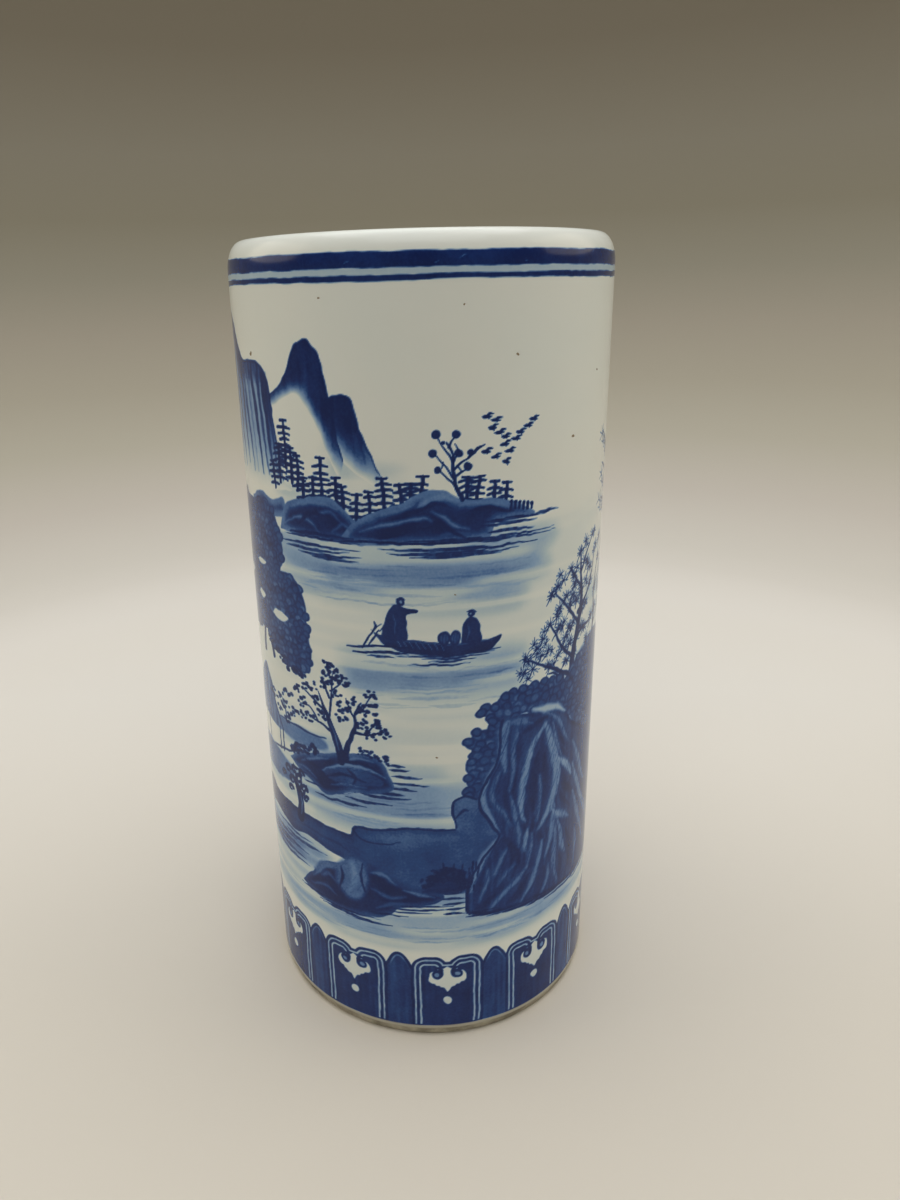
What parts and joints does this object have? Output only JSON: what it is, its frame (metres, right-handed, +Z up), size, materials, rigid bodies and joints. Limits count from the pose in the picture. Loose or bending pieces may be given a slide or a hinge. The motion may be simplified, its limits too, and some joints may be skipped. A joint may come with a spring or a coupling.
{
  "type": "brush holder pot",
  "caption": "Tall cylindrical porcelain brush pot with a rounded lip, a slab floor on a bevelled foot ring, and cobalt rings and border under clear glaze.",
  "frame": {"origin": "centre of the foot ring's resting circle, on the surface that the pot stands on", "axes": "+Z up along the pot's axis, -Y towards the face that holds the boat scene, +X to that face's right"},
  "size_m": [0.13, 0.13, 0.282],
  "materials": {
    "porcelain_body": "fired white porcelain paste",
    "bare_foot": "unglazed, worn and slightly soiled",
    "outer_glaze": "clear gloss glaze with a faint blue-grey tone",
    "inner_glaze": "clear gloss glaze",
    "cobalt_under_glaze": "brushed cobalt blue under clear gloss glaze"
  },
  "bodies": {
    "root": {"wall_tube": "porcelain_body", "floor_slab": "porcelain_body", "foot_ring": "bare_foot", "outer_glaze": "outer_glaze", "inner_glaze": "inner_glaze", "underside_glaze": "inner_glaze", "rim_band": "cobalt_under_glaze", "rim_line": "cobalt_under_glaze", "lappet_border": "cobalt_under_glaze"}
  },
  "joints": []
}
